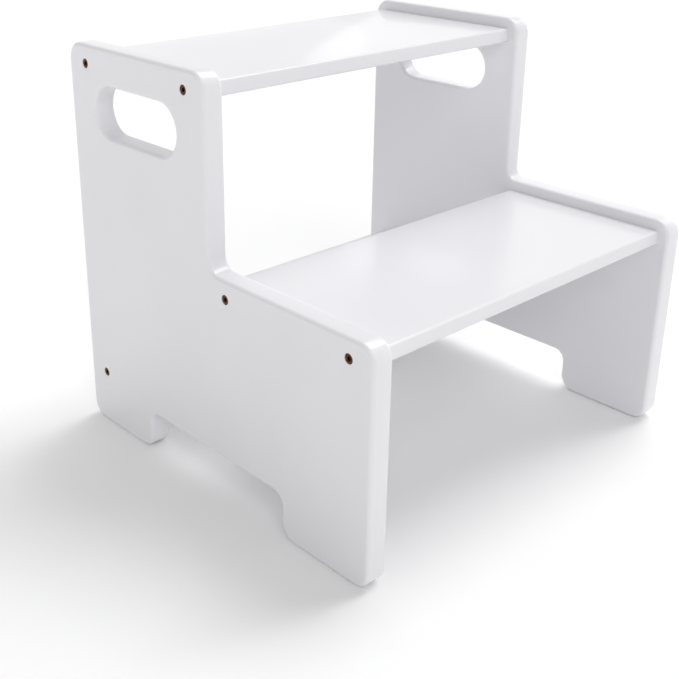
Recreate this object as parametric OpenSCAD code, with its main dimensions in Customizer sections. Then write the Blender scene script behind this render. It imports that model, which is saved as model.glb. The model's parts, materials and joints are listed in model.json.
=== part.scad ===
// Two-step wooden stool: two stepped side panels, two treads and a low rear brace, held
// together by socket-head screws, with dowels that keep the brace from turning.
// Frame: X across the stool, Y from the front (-Y) to the rear (+Y), Z up. The origin is on
// the floor, midway between the side panels and midway between their front and rear edges.

/* [Overall size] */
// Width over the outer faces of the side panels
stool_w = 365; // [300:1:450]
// Depth of the side panels, front to rear
stool_d = 338; // [338:1:400]
// Height of the side panels at the rear
stool_h = 330; // [310:1:380]

/* [Side panels] */
// Thickness of the side panels
side_t = 18; // [16:1:22]
// Height of the front, lower part of the side panels
step_h = 185; // [150:1:210]
// Depth of the lower part of the side panels, from their front edge to the riser
step_d = 167; // [150:1:170]
// Radius of the outline's outer corners
corner_r = 14; // [8:1:18]
// Radius of the outline's inside corners
inner_r = 10; // [6:1:14]
// Radius of the rounding along every edge of the outline and of the hand slot
edge_r = 3; // [1.5:0.5:4]

/* [Feet] */
// Length of each foot along the floor
foot_l = 88; // [70:1:100]
// Height of the gap between the front foot and the rear foot
foot_gap_h = 36; // [34:1:50]

/* [Hand slots] */
// Length of the hand slot in each side panel
slot_l = 104; // [90:1:110]
// Height of the hand slot
slot_h = 40; // [30:1:42]
// Distance from the rear edge of the panel to the middle of the slot
slot_from_rear = 85; // [75:1:90]
// Drop from the top of the panel to the middle of the slot
slot_drop = 49; // [48:1:60]

/* [Treads] */
// Depth of each tread, front to rear
tread_d = 152; // [140:1:152]
// Thickness of the treads
tread_t = 12; // [12:1:16]
// Height by which the side panels stand above the treads
lip_h = 9; // [6:1:12]
// Distance from the panel's edge above the tread to the front edge of the tread
tread_setback = 9.5; // [6:0.5:12]
// Radius of the rounding along the long edges of the treads and the brace
board_edge_r = 2; // [1:0.5:3]

/* [Rear brace] */
// Height of the brace
brace_h = 89; // [64:1:100]
// Thickness of the brace
brace_t = 12; // [12:1:16]
// Gap between the floor and the brace
brace_floor_gap = 4; // [4:1:20]
// Distance from the rear edge of the panels to the rear face of the brace
brace_setback = 17; // [12:1:24]

/* [Screws and dowels] */
// Length of a screw
screw_l = 45; // [38:1:60]
// Diameter of a screw's head
head_d = 7.4; // [6:0.1:8]
// Distance from the middle of a tread to each of its screws
tread_screw_offset = 62.75; // [50:0.25:64]
// Diameter of a dowel
dowel_d = 6; // [5:1:8]
// Length of a dowel
dowel_l = 30; // [24:1:36]
// Distance from the top and bottom edges of the brace to the dowels in its ends
dowel_inset = 14; // [10:1:20]

/* [Hidden] */
$fn = 64;

white = [0.95, 0.95, 0.96];
bronze = [0.32, 0.19, 0.11];
beech = [0.83, 0.66, 0.45];

// Outline of a side panel
front_y = -stool_d / 2;
rear_y = stool_d / 2;
riser_y = front_y + step_d;
front_foot_y = front_y + foot_l;
rear_foot_y = rear_y - foot_l;
slot_y = rear_y - slot_from_rear;
slot_z = stool_h - slot_drop;
slot_r = slot_h / 2;
slot_half = slot_l / 2 - slot_r;

// Corners of the outline as [y, z], clockwise from the top rear one. OUTER is true where the
// outline turns round the wood, and false at an inside corner.
CORNERS = [
    [rear_y, stool_h], [rear_y, 0],
    [rear_foot_y, 0], [rear_foot_y, foot_gap_h],
    [front_foot_y, foot_gap_h], [front_foot_y, 0],
    [front_y, 0], [front_y, step_h],
    [riser_y, step_h], [riser_y, stool_h]
];
OUTER = [true, true, true, false, false, true, true, true, false, true];
corner_count = len(CORNERS);
all_corners = [0:corner_count - 1];

// Treads and brace
inner_w = stool_w - 2 * side_t;
upper_y = riser_y + tread_setback + tread_d / 2;
upper_z = stool_h - lip_h - tread_t / 2;
lower_y = front_y + tread_setback + tread_d / 2;
lower_z = step_h - lip_h - tread_t / 2;
brace_y = rear_y - brace_setback - brace_t / 2;
brace_z = brace_floor_gap + brace_h / 2;
dowel_rise = brace_h / 2 - dowel_inset;

// Screw, measured along its axis from the outer face of the panel
head_recess = 0.4;
head_end = head_recess + 3.4;
neck_d = 4.8;
thread_d = 4.6;
core_d = 3.4;
tip_d = 1.6;
tip_l = 3;
thread_pitch = 2;
thread_start = side_t + 4;
screw_end = head_recess + screw_l;
thread_turns = floor((screw_end - tip_l - thread_start) / thread_pitch);
socket_w = 3;
socket_depth = 2.2;

// Room round the screws and dowels, on the diameter, and past their ends
screw_play = 0.2;
dowel_play = 0.1;
end_play = 1;

// Part of a dowel that is in the panel
dowel_in_panel = min(12, side_t - 5);
dowel_chamfer = 0.8;

// Reach of a cutter past the face that it cuts
over = 1;

// --- Functions of the outline ----------------------------------------------------------

function next(i) = (i + 1) % corner_count;
function previous(i) = (i + corner_count - 1) % corner_count;
function radius(i) = OUTER[i] ? corner_r : inner_r;
function direction(a, b) = [sign(b[0] - a[0]), sign(b[1] - a[1])];
function towards(i) = direction(CORNERS[previous(i)], CORNERS[i]);
function away(i) = direction(CORNERS[i], CORNERS[next(i)]);

// Centre of the arc that rounds a corner, and the points where it meets the straight edges
function arc_centre(i) = CORNERS[i] + radius(i) * (away(i) - towards(i));
function arc_start(i) = CORNERS[i] - radius(i) * towards(i);
function arc_end(i) = CORNERS[i] + radius(i) * away(i);
function arc_angle(i) = let (d = CORNERS[i] - arc_centre(i)) atan2(d[1], d[0]) - 45;
function filled_corner(i) = OUTER[i] ? [CORNERS[i]] : [arc_start(i), arc_centre(i), arc_end(i)];

// --- Flat shapes -----------------------------------------------------------------------

// What lies between the corner of a square at p and the arc of radius r about c
module corner_sliver(p, c, r) {
    difference() {
        translate([min(p[0], c[0]), min(p[1], c[1])]) square(r);
        translate(c) circle(r);
    }
}

module rounded_rectangle(w, h, r) {
    difference() {
        square([w, h], center = true);
        for (sx = [-1, 1], sy = [-1, 1]) {
            corner = [sx * w / 2, sy * h / 2];
            corner_sliver(corner, corner - r * [sx, sy], r);
        }
    }
}

// A square of wood fills each inside corner out to its arc's centre, and the arc is cut from it
module panel_outline() {
    difference() {
        polygon([for (i = all_corners) each filled_corner(i)]);
        for (i = all_corners)
            if (OUTER[i]) corner_sliver(CORNERS[i], arc_centre(i), corner_r);
            else translate(arc_centre(i)) circle(inner_r);
        slot_outline();
    }
}

module slot_outline() {
    translate([slot_y, slot_z]) square([2 * slot_half, slot_h], center = true);
    for (s = [-1, 1]) translate([slot_y + s * slot_half, slot_z]) circle(slot_r);
}

// Section of the cutter that rounds an edge: the edge runs through the origin, and the wood
// fills the quarter where x and y are positive
module edge_section() {
    difference() {
        translate([-over, -over]) square(edge_r + over);
        translate([edge_r, edge_r]) circle(edge_r);
    }
}

// --- Cutters that round the edges of the face at z = 0 ---------------------------------

// Along a straight edge from a to b, with the wood to the right
module straight_rounding(a, b) {
    run = b - a;
    translate([a[0], a[1], 0])
        rotate([0, 0, atan2(run[1], run[0])])
            rotate([90, 0, 90])
                linear_extrude(norm(run)) mirror([1, 0]) edge_section();
}

// Round an arc, with the wood inside the arc or outside it
module arc_rounding(centre, r, wood_inside, start, sweep) {
    translate([centre[0], centre[1], 0])
        rotate([0, 0, start])
            rotate_extrude(angle = sweep)
                translate([r, 0]) mirror([wood_inside ? 1 : 0, 0]) edge_section();
}

module outline_rounding() {
    for (i = all_corners) {
        straight_rounding(arc_end(i), arc_start(next(i)));
        arc_rounding(arc_centre(i), radius(i), OUTER[i], arc_angle(i), 90);
    }
}

module slot_rounding() {
    for (s = [-1, 1]) {
        edge_z = slot_z - s * slot_r;
        straight_rounding([slot_y - s * slot_half, edge_z], [slot_y + s * slot_half, edge_z]);
        arc_rounding([slot_y + s * slot_half, slot_z], slot_r, false, -90 * s, 180);
    }
}

// --- Places on the stool ---------------------------------------------------------------

// Puts what is drawn up the Z axis at (y, z) on the left panel, pointing inwards from x
module inwards(x, y, z) {
    translate([x, y, z]) rotate([0, 90, 0]) children();
}

module on_right() {
    mirror([1, 0, 0]) children();
}

module on_both_sides() {
    children();
    on_right() children();
}

// Puts its children at each screw in the left end of a tread
module at_tread_screws(y, z) {
    for (s = [-1, 1]) inwards(-stool_w / 2, y + s * tread_screw_offset, z) children();
}

// Puts its children at each dowel in the left end of the brace
module at_brace_dowels() {
    for (s = [-1, 1]) inwards(-inner_w / 2, brace_y, brace_z + s * dowel_rise) children();
}

// --- Screws and dowels -----------------------------------------------------------------

// Drawn up the Z axis from the outer face of the panel
module screw() {
    head_r = head_d / 2;
    neck_r = neck_d / 2;
    core_r = core_d / 2;
    difference() {
        rotate_extrude()
            polygon([
                [0, head_recess],
                [head_r, head_recess],
                [head_r, head_end],
                [neck_r, head_end + head_r - neck_r],
                [neck_r, thread_start],
                for (turn = [0:thread_turns - 1]) each [
                    [core_r, thread_start + turn * thread_pitch],
                    [thread_d / 2, thread_start + (turn + 0.5) * thread_pitch]
                ],
                [core_r, thread_start + thread_turns * thread_pitch],
                [tip_d / 2, screw_end],
                [0, screw_end]
            ]);
        translate([0, 0, head_recess - over])
            cylinder(h = socket_depth + over, d = socket_w / cos(30), $fn = 6);
    }
}

// Stepped hole for the head and the neck, through the panel
module screw_hole_in_panel() {
    head_r = (head_d + screw_play) / 2;
    neck_r = (neck_d + screw_play) / 2;
    seat = head_end - screw_play / 2;
    translate([0, 0, -over]) cylinder(h = seat + over, r = head_r);
    translate([0, 0, seat]) cylinder(h = head_r - neck_r, r1 = head_r, r2 = neck_r);
    translate([0, 0, seat]) cylinder(h = side_t - seat + over, r = neck_r);
}

// Hole for the thread, in the end of a tread or the brace
module screw_hole_in_board() {
    translate([0, 0, side_t - over])
        cylinder(h = screw_end + end_play - side_t + over, d = thread_d + screw_play);
}

// Drawn up the Z axis from the inner face of the panel, with chamfered ends
module dowel() {
    r = dowel_d / 2;
    low = -dowel_in_panel;
    high = low + dowel_l;
    rotate_extrude()
        polygon([
            [0, low],
            [r - dowel_chamfer, low],
            [r, low + dowel_chamfer],
            [r, high - dowel_chamfer],
            [r - dowel_chamfer, high],
            [0, high]
        ]);
}

module dowel_hole() {
    translate([0, 0, -dowel_in_panel - end_play])
        cylinder(h = dowel_l + 2 * end_play, d = dowel_d + dowel_play);
}

// --- Boards ----------------------------------------------------------------------------

module left_panel() {
    difference() {
        translate([-stool_w / 2, 0, 0])
            rotate([90, 0, 90])
                difference() {
                    linear_extrude(side_t) panel_outline();
                    outline_rounding();
                    slot_rounding();
                    translate([0, 0, side_t]) mirror([0, 0, 1]) {
                        outline_rounding();
                        slot_rounding();
                    }
                }
        at_tread_screws(upper_y, upper_z) screw_hole_in_panel();
        at_tread_screws(lower_y, lower_z) screw_hole_in_panel();
        inwards(-stool_w / 2, brace_y, brace_z) screw_hole_in_panel();
        at_brace_dowels() dowel_hole();
    }
}

// A board between the side panels, centred on (y, z)
module cross_board(depth, height, y, z) {
    translate([-inner_w / 2, y, z])
        rotate([90, 0, 90])
            linear_extrude(inner_w) rounded_rectangle(depth, height, board_edge_r);
}

module tread(y, z) {
    difference() {
        cross_board(tread_d, tread_t, y, z);
        on_both_sides() at_tread_screws(y, z) screw_hole_in_board();
    }
}

// --- Nodes -----------------------------------------------------------------------------

module left_side_panel() {
    color(white) left_panel();
}

module right_side_panel() {
    color(white) on_right() left_panel();
}

module upper_tread() {
    color(white) tread(upper_y, upper_z);
}

module lower_tread() {
    color(white) tread(lower_y, lower_z);
}

module rear_brace() {
    color(white)
        difference() {
            cross_board(brace_t, brace_h, brace_y, brace_z);
            on_both_sides() {
                inwards(-stool_w / 2, brace_y, brace_z) screw_hole_in_board();
                at_brace_dowels() dowel_hole();
            }
        }
}

module left_screw(y, z) {
    color(bronze) inwards(-stool_w / 2, y, z) screw();
}

module right_screw(y, z) {
    color(bronze) on_right() inwards(-stool_w / 2, y, z) screw();
}

module left_dowel(z) {
    color(beech) inwards(-inner_w / 2, brace_y, z) dowel();
}

module right_dowel(z) {
    color(beech) on_right() inwards(-inner_w / 2, brace_y, z) dowel();
}

module left_upper_front_screw() { left_screw(upper_y - tread_screw_offset, upper_z); }
module left_upper_rear_screw() { left_screw(upper_y + tread_screw_offset, upper_z); }
module left_lower_front_screw() { left_screw(lower_y - tread_screw_offset, lower_z); }
module left_lower_rear_screw() { left_screw(lower_y + tread_screw_offset, lower_z); }
module left_brace_screw() { left_screw(brace_y, brace_z); }

module right_upper_front_screw() { right_screw(upper_y - tread_screw_offset, upper_z); }
module right_upper_rear_screw() { right_screw(upper_y + tread_screw_offset, upper_z); }
module right_lower_front_screw() { right_screw(lower_y - tread_screw_offset, lower_z); }
module right_lower_rear_screw() { right_screw(lower_y + tread_screw_offset, lower_z); }
module right_brace_screw() { right_screw(brace_y, brace_z); }

module left_brace_upper_dowel() { left_dowel(brace_z + dowel_rise); }
module left_brace_lower_dowel() { left_dowel(brace_z - dowel_rise); }
module right_brace_upper_dowel() { right_dowel(brace_z + dowel_rise); }
module right_brace_lower_dowel() { right_dowel(brace_z - dowel_rise); }

left_side_panel();
right_side_panel();
upper_tread();
lower_tread();
rear_brace();
left_upper_front_screw();
left_upper_rear_screw();
left_lower_front_screw();
left_lower_rear_screw();
left_brace_screw();
right_upper_front_screw();
right_upper_rear_screw();
right_lower_front_screw();
right_lower_rear_screw();
right_brace_screw();
left_brace_upper_dowel();
left_brace_lower_dowel();
right_brace_upper_dowel();
right_brace_lower_dowel();
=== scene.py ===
"""The looks of the two-step stool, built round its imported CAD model.

Everything is in metres in the CAD frame: X across the stool, -Y to the front, Z up, with the
origin on the floor. Places come from the boxes of the CAD nodes, and the shapes that those boxes
don't hold are the named sizes below. A depth is measured from a side panel's outer face, inwards.
"""

import json
import math

import bmesh
import bpy
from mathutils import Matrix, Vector
from mathutils.geometry import tessellate_polygon

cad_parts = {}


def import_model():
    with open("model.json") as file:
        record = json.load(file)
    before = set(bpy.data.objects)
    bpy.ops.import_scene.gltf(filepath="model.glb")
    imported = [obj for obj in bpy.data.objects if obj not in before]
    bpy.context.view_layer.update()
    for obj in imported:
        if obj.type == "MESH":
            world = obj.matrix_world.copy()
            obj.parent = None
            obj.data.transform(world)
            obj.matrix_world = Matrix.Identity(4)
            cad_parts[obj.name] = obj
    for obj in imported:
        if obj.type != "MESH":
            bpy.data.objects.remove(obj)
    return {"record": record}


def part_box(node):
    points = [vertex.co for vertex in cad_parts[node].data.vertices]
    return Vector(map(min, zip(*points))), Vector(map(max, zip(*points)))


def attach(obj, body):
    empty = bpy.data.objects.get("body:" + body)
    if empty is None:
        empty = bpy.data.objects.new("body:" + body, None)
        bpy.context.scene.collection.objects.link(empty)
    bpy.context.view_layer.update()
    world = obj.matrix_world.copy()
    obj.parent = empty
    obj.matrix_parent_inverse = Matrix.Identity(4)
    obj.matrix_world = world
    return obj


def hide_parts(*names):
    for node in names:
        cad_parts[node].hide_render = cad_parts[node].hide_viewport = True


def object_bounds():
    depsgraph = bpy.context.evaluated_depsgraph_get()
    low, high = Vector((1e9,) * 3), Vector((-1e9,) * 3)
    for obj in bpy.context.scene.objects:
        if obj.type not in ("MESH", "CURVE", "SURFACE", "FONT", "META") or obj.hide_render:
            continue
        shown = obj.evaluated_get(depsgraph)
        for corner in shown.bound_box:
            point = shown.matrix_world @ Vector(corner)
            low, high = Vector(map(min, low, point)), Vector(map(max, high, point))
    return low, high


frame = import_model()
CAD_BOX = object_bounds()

MM = 0.001

# --- Sizes ----------------------------------------------------------------------------------

# Side panels
CORNER_R = 14 * MM
INSIDE_R = 10 * MM
PANEL_EDGE_R = 3 * MM
FOOT_LENGTH = 88 * MM
FOOT_GAP_HEIGHT = 36 * MM
SLOT_LENGTH = 104 * MM
SLOT_HEIGHT = 40 * MM
SLOT_OPENING = "left_hand_slot"

# Treads and brace
BOARD_EDGE_R = 2 * MM
BOARD_END_CHAMFER = 0.25 * MM

# Screws
HEAD_LENGTH = 3.4 * MM
HEAD_RIM_R = 0.45 * MM
NECK_RADIUS = 2.4 * MM
THREAD_RADIUS = 2.3 * MM
THREAD_CORE_RADIUS = 1.7 * MM
RIDGE_HEIGHT = THREAD_RADIUS - THREAD_CORE_RADIUS
THREAD_PITCH = 2 * MM
THREAD_TO_PANEL = 4 * MM
NECK_TO_THREAD = 0.4 * MM
TIP_LENGTH = 3 * MM
TIP_RADIUS = 0.5 * MM
# Half the width of the thread's ridge at its foot, as a share of the pitch
RIDGE_HALF_WIDTH = 0.32

# Hexagon sockets: SOCKET_RADIUS is to the hexagon's corners
SOCKET_RADIUS = 1.73 * MM
SOCKET_DEPTH = 2.2 * MM
SOCKET_LEAD_IN = 0.3 * MM
# The round mouth and the flat floor, as shares of the radius, and the straight wall, of the depth
SOCKET_MOUTH = 1.12
SOCKET_FLOOR = 0.5
SOCKET_WALL = 0.86

# Holes: how far their walls stand off the screws and dowels, and how far past their ends
SCREW_ROOM = 0.1 * MM
DOWEL_ROOM = 0.05 * MM
END_ROOM = 1 * MM
HOLE_RIM_R = 0.15 * MM

# Dowels
DOWEL_CHAMFER = 0.8 * MM
FLUTES = 14
FLUTE_DEPTH = 0.18 * MM

# Fineness of the meshes
CORNER_STEPS = 14
EDGE_STEPS = 8
HOLE_STEPS = 48
HOLE_RIM_STEPS = 4
HEAD_RIM_STEPS = 5
THREAD_STEPS = 36
LEVELS_PER_PITCH = 10
STEPS_PER_FLUTE = 6
# Widths of the narrow flat bands beside the roundings, which keep the flat faces shading flat
FLAT_BAND = 0.5 * MM
HEAD_FLAT_BAND = 0.2 * MM
# Faces that meet at more than this angle make a crease
SHARP_ANGLE = math.radians(32)

# --- Places, from the frame -----------------------------------------------------------------

LEFT_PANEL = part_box("left_side_panel")
UPPER_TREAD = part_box("upper_tread")
LOWER_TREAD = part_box("lower_tread")
SIDES = {"left": -1, "right": 1}
SCREWS = ("upper_front", "upper_rear", "lower_front", "lower_rear", "brace")
DOWELS = ("brace_upper", "brace_lower")

HALF_WIDTH = -LEFT_PANEL[0].x
PANEL_T = LEFT_PANEL[1].x - LEFT_PANEL[0].x
INNER_HALF_WIDTH = HALF_WIDTH - PANEL_T
FRONT_Y, REAR_Y = LEFT_PANEL[0].y, LEFT_PANEL[1].y
TOP_Z = LEFT_PANEL[1].z
LIP = TOP_Z - UPPER_TREAD[1].z
STEP_Z = LOWER_TREAD[1].z + LIP
RISER_Y = UPPER_TREAD[0].y - (LOWER_TREAD[0].y - FRONT_Y)

ONE_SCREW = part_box("left_brace_screw")
HEAD_RADIUS = (ONE_SCREW[1].z - ONE_SCREW[0].z) / 2
HEAD_RECESS = ONE_SCREW[0].x + HALF_WIDTH
HEAD_END = HEAD_RECESS + HEAD_LENGTH
THREAD_START = PANEL_T + THREAD_TO_PANEL
SCREW_END = ONE_SCREW[1].x + HALF_WIDTH


def middle(node):
    """The (y, z) centre of a CAD node."""
    low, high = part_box(node)
    return (low.y + high.y) / 2, (low.z + high.z) / 2


def round_radius(node):
    """The radius of a round CAD node that lies along X."""
    low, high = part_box(node)
    return (high.y - low.y) / 2


def opening_middle(name):
    """The (y, z) centre of an opening that the record states."""
    for opening in frame["record"]["physics"]["openings"]:
        if opening["name"] == name:
            low, high = opening["box_m"]
            return (low[1] + high[1]) / 2, (low[2] + high[2]) / 2
    raise ValueError(f"the record has no opening named {name}")


# --- Flat outlines --------------------------------------------------------------------------


def polar(centre, radius, angle):
    """The point at a radius and an angle, in radians, from a centre."""
    return centre[0] + radius * math.cos(angle), centre[1] + radius * math.sin(angle)


def arc(centre, radius, start, sweep, steps):
    """Points of an arc, both ends included; the angles are in degrees."""
    return [polar(centre, radius, math.radians(start + sweep * i / steps)) for i in range(steps + 1)]


def circle(centre, radius, steps):
    """Points of a circle, each once."""
    return arc(centre, radius, 0, 360, steps)[:-1]


def panel_corners():
    """Corners of the panel's outline from the top rear one: (y, z, turns round the wood)."""
    rear_foot, front_foot = REAR_Y - FOOT_LENGTH, FRONT_Y + FOOT_LENGTH
    return [
        (REAR_Y, TOP_Z, True), (REAR_Y, 0, True),
        (rear_foot, 0, True), (rear_foot, FOOT_GAP_HEIGHT, False),
        (front_foot, FOOT_GAP_HEIGHT, False), (front_foot, 0, True),
        (FRONT_Y, 0, True), (FRONT_Y, STEP_Z, True),
        (RISER_Y, STEP_Z, False), (RISER_Y, TOP_Z, True),
    ]


def heading(a, b):
    """The unit vector from one corner to another."""
    return Vector((b[0] - a[0], b[1] - a[1])).normalized()


def panel_loop(inset):
    """The panel's outline, moved into the wood by inset."""
    corners = panel_corners()
    points = []
    for i, corner in enumerate(corners):
        towards = heading(corners[i - 1], corner)
        away = heading(corner, corners[(i + 1) % len(corners)])
        radius = CORNER_R if corner[2] else INSIDE_R
        centre = Vector(corner[:2]) + radius * (away - towards)
        reach = radius - inset if corner[2] else radius + inset
        for step in range(CORNER_STEPS + 1):
            turn = math.pi / 2 * step / CORNER_STEPS
            points.append(tuple(centre + reach * (towards * math.sin(turn) - away * math.cos(turn))))
    return points


def slot_loop(inset):
    """The hand slot's outline, moved into the wood by inset."""
    y, z = opening_middle(SLOT_OPENING)
    half = (SLOT_LENGTH - SLOT_HEIGHT) / 2
    radius = SLOT_HEIGHT / 2 + inset
    steps = 2 * CORNER_STEPS
    return arc((y + half, z), radius, -90, 180, steps) + arc((y - half, z), radius, 90, 180, steps)


def board_loop(box, inset):
    """The section of a cross board in (y, z), moved in by inset."""
    low_y, high_y = box[0].y + BOARD_EDGE_R, box[1].y - BOARD_EDGE_R
    low_z, high_z = box[0].z + BOARD_EDGE_R, box[1].z - BOARD_EDGE_R
    centres = ((high_y, high_z), (low_y, high_z), (low_y, low_z), (high_y, low_z))
    points = []
    for quarter, centre in enumerate(centres):
        points += arc(centre, BOARD_EDGE_R - inset, 90 * quarter, 90, EDGE_STEPS)
    return points


def quarter_round(radius, steps):
    """The section of a rounded edge as (inset, depth) pairs, from the face to the side."""
    return arc((radius, radius), radius, 270, -90, steps)


def hexagon(centre, radius, steps):
    """Points round a hexagon at the angles of a circle's points, so that the two can be joined."""
    points = []
    for i in range(steps):
        angle = 2 * math.pi * i / steps
        from_flat = (angle % (math.pi / 3)) - math.pi / 6
        points.append(polar(centre, radius * math.cos(math.pi / 6) / math.cos(from_flat), angle))
    return points


def thread_outline(centre, depth):
    """The screw's section at a depth: its radius follows a helix and dies away at both ends."""
    turns = (depth - THREAD_START) / THREAD_PITCH
    to_tip = min(1, (SCREW_END - depth) / TIP_LENGTH)
    fade = min(turns, to_tip, 1)
    core = TIP_RADIUS + (THREAD_CORE_RADIUS - TIP_RADIUS) * to_tip
    points = []
    for i in range(THREAD_STEPS):
        phase = (turns + i / THREAD_STEPS) % 1
        crest = max(0, 1 - abs(phase - 0.5) / RIDGE_HALF_WIDTH)
        radius = core + fade * crest * RIDGE_HEIGHT
        points.append(polar(centre, radius, 2 * math.pi * i / THREAD_STEPS))
    return points


def fluted_outline(centre, radius, flute_depth):
    """The section of a dowel with flutes that are that deep."""
    steps = FLUTES * STEPS_PER_FLUTE
    points = []
    for i in range(steps):
        angle = 2 * math.pi * i / steps
        flute = flute_depth * max(0, math.cos(FLUTES * angle)) ** 2
        points.append(polar(centre, radius - flute, angle))
    return points


# --- Mesh building --------------------------------------------------------------------------


def ring(bm, points, x):
    """Vertices through (y, z) points at one x."""
    return [bm.verts.new((x, y, z)) for y, z in points]


def join(bm, rings):
    """Skins closed rings of equal length, one to the next."""
    for a, b in zip(rings, rings[1:]):
        for i in range(len(a)):
            j = (i + 1) % len(a)
            bm.faces.new((a[i], a[j], b[j], b[i]))


def loft(bm, sections):
    """Skins (x, outline) sections, open at both ends. Returns their rings."""
    rings = [ring(bm, outline, x) for x, outline in sections]
    join(bm, rings)
    return rings


def solid_loft(bm, sections):
    """Skins (x, outline) sections and closes both ends."""
    rings = loft(bm, sections)
    bm.faces.new(rings[0])
    bm.faces.new(rings[-1])


def cap(bm, rings):
    """Fills the flat face inside the first ring and outside the others."""
    verts = [v for r in rings for v in r]
    triangles = tessellate_polygon([[v.co for v in r] for r in rings])
    faces = [bm.faces.new([verts[i] for i in triangle]) for triangle in triangles]
    inner_edges = dict.fromkeys(e for f in faces for e in f.edges if len(e.link_faces) == 2)
    bmesh.ops.beautify_fill(bm, faces=faces, edges=list(inner_edges))


def bore(bm, centre, profile):
    """The wall of a round hole along X. profile is (x, radius) pairs, from the mouth inwards."""
    return loft(bm, [(x, circle(centre, radius, HOLE_STEPS)) for x, radius in profile])


def pocket(bm, node, radius, mouth_x, end_x):
    """A blind hole round a screw or dowel, with its end closed. Returns the ring at its mouth."""
    rings = bore(bm, middle(node), [(mouth_x, radius), (end_x, radius)])
    bm.faces.new(rings[-1])
    return rings[0]


def finish_mesh(bm, name, nodes, material):
    """Makes the piece of a finished bmesh, with smooth roundings and crisp corners."""
    bmesh.ops.recalc_face_normals(bm, faces=bm.faces)
    mesh = bpy.data.meshes.new(name)
    bm.to_mesh(mesh)
    bm.free()
    for polygon in mesh.polygons:
        polygon.use_smooth = True
    mesh.set_sharp_from_angle(angle=SHARP_ANGLE)
    mesh.materials.append(material)
    piece = bpy.data.objects.new(name, mesh)
    bpy.context.scene.collection.objects.link(piece)
    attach(piece, "root")
    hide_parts(*nodes)
    return piece


# --- Side panels ----------------------------------------------------------------------------


def panel_wall(bm, loop, sign):
    """The wall along an outline of a panel, rounded at both faces. Returns its rings."""
    section = [(PANEL_EDGE_R + FLAT_BAND, 0)] + quarter_round(PANEL_EDGE_R, EDGE_STEPS)
    outer = [(sign * (HALF_WIDTH - depth), loop(inset)) for inset, depth in section]
    inner = [(sign * (INNER_HALF_WIDTH + depth), loop(inset)) for inset, depth in section]
    return loft(bm, outer + inner[::-1])


def screw_hole(bm, side, name):
    """The stepped hole through a panel, with its outer rim eased. Returns its rings."""
    head_r = HEAD_RADIUS + SCREW_ROOM
    neck_r = NECK_RADIUS + SCREW_ROOM
    seat = HEAD_END - SCREW_ROOM
    walls = [(depth, head_r + inset) for inset, depth in quarter_round(HOLE_RIM_R, HOLE_RIM_STEPS)]
    walls += [(seat, head_r), (seat + head_r - neck_r, neck_r), (PANEL_T, neck_r)]
    profile = [(SIDES[side] * (HALF_WIDTH - depth), radius) for depth, radius in walls]
    return bore(bm, middle(f"{side}_{name}_screw"), profile)


def panel_dowel_pocket(bm, side, name):
    """The blind hole for a dowel in a panel's inner face. Returns the ring at its mouth."""
    node = f"{side}_{name}_dowel"
    sign = SIDES[side]
    end_x = sign * (max(abs(corner.x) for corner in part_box(node)) + END_ROOM)
    return pocket(bm, node, round_radius(node) + DOWEL_ROOM, sign * INNER_HALF_WIDTH, end_x)


def side_panel(side, material):
    """A stepped panel with its edges rounded, hand slot, screw holes and dowel pockets."""
    bm = bmesh.new()
    through = [panel_wall(bm, loop, SIDES[side]) for loop in (panel_loop, slot_loop)]
    through += [screw_hole(bm, side, name) for name in SCREWS]
    pockets = [panel_dowel_pocket(bm, side, name) for name in DOWELS]
    cap(bm, [rings[0] for rings in through])
    cap(bm, [rings[-1] for rings in through] + pockets)
    node = f"{side}_side_panel"
    return finish_mesh(bm, f"{node}_lacquered", [node], material)


# --- Treads and brace -----------------------------------------------------------------------


def end_pockets(bm, side, screws, dowels):
    """The holes in one end of a cross board. Returns the rings at their mouths."""
    radii = {f"{side}_{name}_screw": THREAD_RADIUS + SCREW_ROOM for name in screws}
    for name in dowels:
        node = f"{side}_{name}_dowel"
        radii[node] = round_radius(node) + DOWEL_ROOM
    sign = SIDES[side]
    mouths = []
    for node, radius in radii.items():
        end_x = sign * (min(abs(corner.x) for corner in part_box(node)) - END_ROOM)
        mouths.append(pocket(bm, node, radius, sign * INNER_HALF_WIDTH, end_x))
    return mouths


def cross_board(node, screws, dowels, material):
    """A board between the panels: long edges rounded, ends eased, holes in the ends."""
    eased_x = INNER_HALF_WIDTH - BOARD_END_CHAMFER
    end = board_loop(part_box(node), BOARD_END_CHAMFER)
    side_on = board_loop(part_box(node), 0)
    bm = bmesh.new()
    rings = loft(bm, [
        (-INNER_HALF_WIDTH, end), (-eased_x, side_on),
        (eased_x, side_on), (INNER_HALF_WIDTH, end),
    ])
    for side, end_ring in (("left", rings[0]), ("right", rings[-1])):
        cap(bm, [end_ring] + end_pockets(bm, side, screws, dowels))
    return finish_mesh(bm, f"{node}_lacquered", [node], material)


# --- Screws and dowels ----------------------------------------------------------------------


def socket_sections(centre):
    """The hexagon socket from its floor to its mouth: (depth, outline) pairs."""
    wall = hexagon(centre, SOCKET_RADIUS, THREAD_STEPS)
    return [
        (HEAD_RECESS + SOCKET_DEPTH, hexagon(centre, SOCKET_RADIUS * SOCKET_FLOOR, THREAD_STEPS)),
        (HEAD_RECESS + SOCKET_DEPTH * SOCKET_WALL, wall),
        (HEAD_RECESS + SOCKET_LEAD_IN, wall),
        (HEAD_RECESS, circle(centre, SOCKET_RADIUS * SOCKET_MOUTH, THREAD_STEPS)),
    ]


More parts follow.
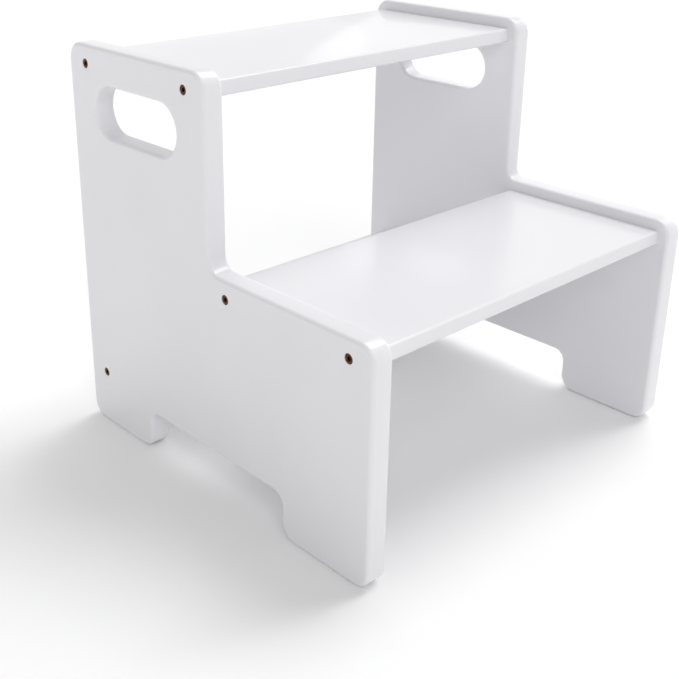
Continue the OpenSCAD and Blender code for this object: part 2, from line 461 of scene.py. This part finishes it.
def head_sections(centre):
    """The head's flat face, round rim and side, then the cone and the neck: (depth, outline) pairs."""
    profile = [(HEAD_RECESS, HEAD_RADIUS - HEAD_RIM_R - HEAD_FLAT_BAND)]
    for inset, depth in quarter_round(HEAD_RIM_R, HEAD_RIM_STEPS):
        profile.append((HEAD_RECESS + depth, HEAD_RADIUS - inset))
    profile.append((HEAD_END, HEAD_RADIUS))
    profile.append((HEAD_END + HEAD_RADIUS - NECK_RADIUS, NECK_RADIUS))
    profile.append((THREAD_START - NECK_TO_THREAD, NECK_RADIUS))
    return [(depth, circle(centre, radius, THREAD_STEPS)) for depth, radius in profile]


def thread_sections(centre):
    """The threaded shank and the tip: (depth, outline) pairs."""
    length = SCREW_END - THREAD_START
    levels = round(length / THREAD_PITCH * LEVELS_PER_PITCH)
    depths = [THREAD_START + length * level / levels for level in range(levels + 1)]
    return [(depth, thread_outline(centre, depth)) for depth in depths]


def screw(side, name, material):
    """A socket-head screw: rounded head rim, hexagon socket, cone, neck and a helical thread."""
    node = f"{side}_{name}_screw"
    centre = middle(node)
    bm = bmesh.new()
    sections = socket_sections(centre) + head_sections(centre) + thread_sections(centre)
    solid_loft(bm, [(SIDES[side] * (HALF_WIDTH - depth), outline) for depth, outline in sections])
    return finish_mesh(bm, f"{node}_bronze", [node], material)


def dowel(side, name, material):
    """A fluted wooden dowel with chamfered ends."""
    node = f"{side}_{name}_dowel"
    low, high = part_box(node)
    radius = round_radius(node)
    end = fluted_outline(middle(node), radius - DOWEL_CHAMFER, 0)
    fluted = fluted_outline(middle(node), radius, FLUTE_DEPTH)
    bm = bmesh.new()
    solid_loft(bm, [
        (low.x, end), (low.x + DOWEL_CHAMFER, fluted),
        (high.x - DOWEL_CHAMFER, fluted), (high.x, end),
    ])
    return finish_mesh(bm, f"{node}_beech", [node], material)


# --- Materials ------------------------------------------------------------------------------

# Colours, each from its darkest to its lightest
LACQUER_COLOURS = (0.808, 0.805, 0.834), (0.832, 0.829, 0.858)
BRONZE_COLOURS = (0.065, 0.026, 0.010), (0.16, 0.072, 0.030)
BEECH_COLOURS = (0.50, 0.31, 0.16), (0.70, 0.49, 0.29)
FLOOR_COLOURS = (0.970, 0.970, 0.970), (0.980, 0.980, 0.980)

# How the beech's noise is stretched along the dowel: cycles per metre along X, Y and Z
GRAIN_SCALE = (40, 900, 900)
FLECK_SCALE = (260, 2400, 2400)


class Shader:
    """A Principled material whose colour, roughness and bump come from noise in the object's space."""

    def __init__(self, name):
        self.material = bpy.data.materials.new(name)
        self.material.use_nodes = True
        self.nodes = self.material.node_tree.nodes
        self.links = self.material.node_tree.links
        self.principled = self.nodes["Principled BSDF"]
        self.space = self.nodes.new("ShaderNodeTexCoord").outputs["Object"]
        self.normal = None

    def set(self, **values):
        """Sets constant values on the shader's own sockets."""
        for name, value in values.items():
            self.principled.inputs[name.replace("_", " ")].default_value = value

    def stretched(self, scale):
        """The object's space, stretched by a scale along each axis."""
        mapping = self.nodes.new("ShaderNodeMapping")
        mapping.inputs["Scale"].default_value = scale
        self.links.new(self.space, mapping.inputs["Vector"])
        return mapping.outputs["Vector"]

    def noise(self, scale, detail, space=None):
        """Noise from 0 to 1, with about scale cycles per metre."""
        node = self.nodes.new("ShaderNodeTexNoise")
        node.inputs["Scale"].default_value = scale
        node.inputs["Detail"].default_value = detail
        self.links.new(space or self.space, node.inputs["Vector"])
        return node.outputs["Fac"]

    def colour(self, value, colours, start=0.3, end=0.7):
        """Goes from the dark to the light colour as the value goes from start to end."""
        node = self.nodes.new("ShaderNodeValToRGB")
        for element, place, colour in zip(node.color_ramp.elements, (start, end), colours):
            element.position = place
            element.color = (*colour, 1)
        self.links.new(value, node.inputs["Fac"])
        self.links.new(node.outputs["Color"], self.principled.inputs["Base Color"])

    def roughness(self, value, low, high):
        """Goes from low to high as the value goes from 0 to 1."""
        node = self.nodes.new("ShaderNodeMapRange")
        node.inputs["To Min"].default_value = low
        node.inputs["To Max"].default_value = high
        self.links.new(value, node.inputs["Value"])
        self.links.new(node.outputs["Result"], self.principled.inputs["Roughness"])

    def bump(self, height, strength, distance):
        """Adds a bump, its distance in metres, to those already there."""
        node = self.nodes.new("ShaderNodeBump")
        node.inputs["Strength"].default_value = strength
        node.inputs["Distance"].default_value = distance
        self.links.new(height, node.inputs["Height"])
        if self.normal:
            self.links.new(self.normal, node.inputs["Normal"])
        self.normal = node.outputs["Normal"]
        self.links.new(self.normal, self.principled.inputs["Normal"])


def white_lacquer():
    """Sprayed satin lacquer: almost even white, faint orange peel and a slow change in sheen."""
    s = Shader("white_satin_lacquer")
    s.colour(s.noise(scale=9, detail=3), LACQUER_COLOURS)
    s.roughness(s.noise(scale=28, detail=4), low=0.26, high=0.36)
    s.bump(s.noise(scale=260, detail=2), strength=0.08, distance=0.2 * MM)
    s.bump(s.noise(scale=1400, detail=2), strength=0.05, distance=0.06 * MM)
    s.set(Coat_Weight=0.35, Coat_Roughness=0.10)
    return s.material


def dark_bronze():
    """Bronze-plated steel: dark brown metal, a little blotchy, with fine tooling marks."""
    s = Shader("dark_bronze_plating")
    s.colour(s.noise(scale=900, detail=3), BRONZE_COLOURS, end=0.75)
    s.roughness(s.noise(scale=1500, detail=3), low=0.28, high=0.48)
    s.bump(s.noise(scale=2600, detail=2), strength=0.15, distance=0.04 * MM)
    s.set(Metallic=1.0)
    return s.material


def beech():
    """Plain beech: straight grain along the dowel, with short dark flecks."""
    s = Shader("plain_beech")
    grain = s.noise(scale=1, detail=4, space=s.stretched(GRAIN_SCALE))
    fleck = s.noise(scale=1, detail=2, space=s.stretched(FLECK_SCALE))
    s.colour(grain, BEECH_COLOURS, start=0.25)
    s.roughness(fleck, low=0.5, high=0.75)
    s.bump(grain, strength=0.3, distance=0.1 * MM)
    s.bump(fleck, strength=0.2, distance=0.05 * MM)
    return s.material


def floor_material():
    """A matt white studio floor, a little uneven."""
    s = Shader("studio_floor")
    s.colour(s.noise(scale=3, detail=2), FLOOR_COLOURS)
    s.roughness(s.noise(scale=40, detail=2), low=0.75, high=0.9)
    s.bump(s.noise(scale=300, detail=2), strength=0.05, distance=0.1 * MM)
    s.set(Specular_IOR_Level=0.1)
    return s.material


# --- Studio ---------------------------------------------------------------------------------

FLOOR_RADIUS = 6.0
FLOOR_SIDES = 96

# The camera stands in the first direction from the middle of the stool and looks against the
# second. Angles are in degrees, and the distance is in metres.
CAMERA_FROM = dict(azimuth=-46.96, elevation=20.30)
CAMERA_DISTANCE = 0.9042
CAMERA_LOOKS = dict(azimuth=-42.36, elevation=21.70)
CAMERA_ROLL = 0.18
CAMERA_LENS_MM = 57.18
CAMERA_SENSOR_MM = 36
CAMERA_SHIFT = (0.06, -0.11)

# Strength of the sky at the horizon and overhead, and the sine of the elevation where the
# change from the one to the other ends
HORIZON = 0.98
SKY = 0.46
HORIZON_HEIGHT = 0.15

# Apparent width of a soft lamp, in degrees
LAMP_WIDTH = 32


def floor():
    """A round floor that reaches well past the camera's view."""
    bm = bmesh.new()
    bmesh.ops.create_circle(bm, cap_ends=True, radius=FLOOR_RADIUS, segments=FLOOR_SIDES)
    mesh = bpy.data.meshes.new("floor")
    bm.to_mesh(mesh)
    bm.free()
    mesh.materials.append(floor_material())
    piece = bpy.data.objects.new("floor", mesh)
    bpy.context.scene.collection.objects.link(piece)


def direction(azimuth, elevation):
    """The unit vector from the stool to a place at that azimuth and elevation, in degrees."""
    a, e = math.radians(azimuth), math.radians(elevation)
    return Vector((math.sin(a) * math.cos(e), -math.cos(a) * math.cos(e), math.sin(e)))


def middle_of_stool():
    """The centre of the CAD model's box."""
    return (CAD_BOX[0] + CAD_BOX[1]) / 2


def camera():
    """The camera, with just enough shift for an off-centre view of the stool."""
    data = bpy.data.cameras.new("camera")
    data.lens = CAMERA_LENS_MM
    data.sensor_width = CAMERA_SENSOR_MM
    data.shift_x, data.shift_y = CAMERA_SHIFT
    data.dof.use_dof = False
    piece = bpy.data.objects.new("camera", data)
    piece.location = middle_of_stool() + direction(**CAMERA_FROM) * CAMERA_DISTANCE
    facing = (-direction(**CAMERA_LOOKS)).to_track_quat("-Z", "Y").to_matrix()
    piece.rotation_euler = facing.to_euler()
    piece.rotation_euler.rotate_axis("Z", math.radians(CAMERA_ROLL))
    bpy.context.scene.collection.objects.link(piece)
    bpy.context.scene.camera = piece


def lamp(name, azimuth, elevation, strength, width=LAMP_WIDTH):
    """A soft lamp far from the stool. Angles are in degrees, and strength in W/m2."""
    data = bpy.data.lights.new(name, "SUN")
    data.angle = math.radians(width)
    data.energy = strength
    piece = bpy.data.objects.new(name, data)
    piece.location = middle_of_stool() + direction(azimuth, elevation) * FLOOR_RADIUS
    piece.rotation_euler = direction(azimuth, elevation).to_track_quat("Z", "Y").to_euler()
    bpy.context.scene.collection.objects.link(piece)


def lamps():
    """Most light comes from the right, high and low, with some from the front left."""
    lamp("right_high", azimuth=90, elevation=62, strength=1.08)
    lamp("rear_right_high", azimuth=120, elevation=62, strength=0.27)
    lamp("front_left", azimuth=328, elevation=38, strength=0.60)
    lamp("right_low", azimuth=90, elevation=16, strength=0.47, width=40)
    lamp("rear_right_low", azimuth=120, elevation=14, strength=0.16)
    lamp("rear_low", azimuth=150, elevation=14, strength=0.10)
    lamp("glint", azimuth=78, elevation=45, strength=0.16, width=12)


def world():
    """Even white light, brighter towards the horizon so that the floor has no visible end."""
    made = bpy.data.worlds.new("studio")
    made.use_nodes = True
    nodes, links = made.node_tree.nodes, made.node_tree.links
    height = nodes.new("ShaderNodeSeparateXYZ")
    links.new(nodes.new("ShaderNodeTexCoord").outputs["Generated"], height.inputs["Vector"])
    fade = nodes.new("ShaderNodeMapRange")
    fade.inputs["From Max"].default_value = HORIZON_HEIGHT
    fade.inputs["To Min"].default_value = HORIZON
    fade.inputs["To Max"].default_value = SKY
    links.new(height.outputs["Z"], fade.inputs["Value"])
    links.new(fade.outputs["Result"], nodes["Background"].inputs["Strength"])
    nodes["Background"].inputs["Color"].default_value = (1, 1, 1, 1)
    bpy.context.scene.world = made


def studio():
    """The floor, the camera and the light."""
    bpy.context.scene.view_settings.view_transform = "Standard"
    floor()
    camera()
    world()
    lamps()


# --- Build ----------------------------------------------------------------------------------


def stool():
    """Every piece of the stool."""
    lacquer, bronze, wood = white_lacquer(), dark_bronze(), beech()
    for side in SIDES:
        side_panel(side, lacquer)
        for name in SCREWS:
            screw(side, name, bronze)
        for name in DOWELS:
            dowel(side, name, wood)
    cross_board("upper_tread", ("upper_front", "upper_rear"), (), lacquer)
    cross_board("lower_tread", ("lower_front", "lower_rear"), (), lacquer)
    cross_board("rear_brace", ("brace",), DOWELS, lacquer)


stool()
studio()
